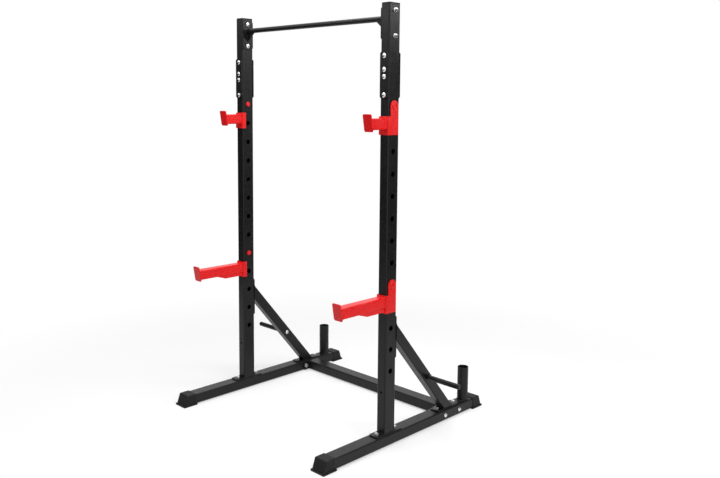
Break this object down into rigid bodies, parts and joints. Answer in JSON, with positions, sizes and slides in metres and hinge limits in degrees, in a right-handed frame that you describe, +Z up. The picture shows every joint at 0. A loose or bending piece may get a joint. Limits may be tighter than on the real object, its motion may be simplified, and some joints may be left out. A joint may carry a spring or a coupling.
{
  "type": "power rack",
  "caption": "Two-post power rack of bolted square tube with a pull-up bar, braced base rails, bar holders, storage pegs, J-cups and spotter arms.",
  "frame": {"origin": "on the floor, at the centre of the rectangle that the rack covers", "axes": "+X from the left upright to the right one, +Y from the front feet to the rear feet, +Z up"},
  "size_m": [1.4706, 1.13, 1.9973],
  "materials": {
    "black_powder_coat": "satin black powder coat with a fine texture",
    "red_powder_coat": "semi-gloss red powder coat",
    "zinc_plate": "bright zinc-plated fasteners",
    "black_plastic": "moulded matte black plastic"
  },
  "bodies": {
    "frame": {"base_rail_left": "black_powder_coat", "base_rail_right": "black_powder_coat", "foot_front_left": "black_plastic", "foot_front_right": "black_plastic", "foot_rear_left": "black_plastic", "foot_rear_right": "black_plastic", "lower_upright_left": "black_powder_coat", "lower_upright_right": "black_powder_coat", "upper_upright_left": "black_powder_coat", "upper_upright_right": "black_powder_coat", "top_cap_left": "black_plastic", "top_cap_right": "black_plastic", "splice_plate_front_left": "black_powder_coat", "splice_plate_front_right": "black_powder_coat", "splice_plate_rear_left": "black_powder_coat", "splice_plate_rear_right": "black_powder_coat", "pull_up_bar": "black_powder_coat", "brace_left": "black_powder_coat", "brace_right": "black_powder_coat", "crossmember": "black_powder_coat", "bar_holder_left": "black_powder_coat", "bar_holder_right": "black_powder_coat", "storage_peg_left": "black_powder_coat", "storage_peg_right": "black_powder_coat", "splice_bolt_left_1": "zinc_plate", "splice_bolt_left_2": "zinc_plate", "splice_bolt_left_3": "zinc_plate", "splice_bolt_left_4": "zinc_plate", "splice_bolt_right_1": "zinc_plate", "splice_bolt_right_2": "zinc_plate", "splice_bolt_right_3": "zinc_plate", "splice_bolt_right_4": "zinc_plate", "pull_up_bolt_left_1": "zinc_plate", "pull_up_bolt_left_2": "zinc_plate", "pull_up_bolt_right_1": "zinc_plate", "pull_up_bolt_right_2": "zinc_plate", "upright_base_bolt_left_1": "zinc_plate", "upright_base_bolt_left_2": "zinc_plate", "upright_base_bolt_right_1": "zinc_plate", "upright_base_bolt_right_2": "zinc_plate", "brace_flange_bolt_left_1": "zinc_plate", "brace_flange_bolt_left_2": "zinc_plate", "brace_flange_bolt_right_1": "zinc_plate", "brace_flange_bolt_right_2": "zinc_plate", "brace_base_bolt_left_1": "zinc_plate", "brace_base_bolt_left_2": "zinc_plate", "brace_base_bolt_right_1": "zinc_plate", "brace_base_bolt_right_2": "zinc_plate", "crossmember_bolt_left_1": "zinc_plate", "crossmember_bolt_left_2": "zinc_plate", "crossmember_bolt_right_1": "zinc_plate", "crossmember_bolt_right_2": "zinc_plate", "peg_bolt_left": "zinc_plate", "peg_bolt_right": "zinc_plate"},
    "j_cup_left_body": {"j_cup_left": "red_powder_coat"},
    "j_cup_right_body": {"j_cup_right": "red_powder_coat"},
    "spotter_arm_left_body": {"spotter_arm_left": "red_powder_coat"},
    "spotter_arm_right_body": {"spotter_arm_right": "red_powder_coat"}
  },
  "joints": [
    {"name": "j_cup_left_swing", "type": "hinge", "parent": "frame", "child": "j_cup_left_body", "pos_m": [-0.52, -0.135, 1.55], "axis": [-1, 0, 0], "range_deg": [0, 84]},
    {"name": "j_cup_right_swing", "type": "hinge", "parent": "frame", "child": "j_cup_right_body", "pos_m": [0.52, -0.135, 1.55], "axis": [-1, 0, 0], "range_deg": [0, 84]},
    {"name": "spotter_arm_left_swing", "type": "hinge", "parent": "frame", "child": "spotter_arm_left_body", "pos_m": [-0.52, -0.135, 0.75], "axis": [-1, 0, 0], "range_deg": [0, 89]},
    {"name": "spotter_arm_right_swing", "type": "hinge", "parent": "frame", "child": "spotter_arm_right_body", "pos_m": [0.52, -0.135, 0.75], "axis": [-1, 0, 0], "range_deg": [0, 89]}
  ]
}
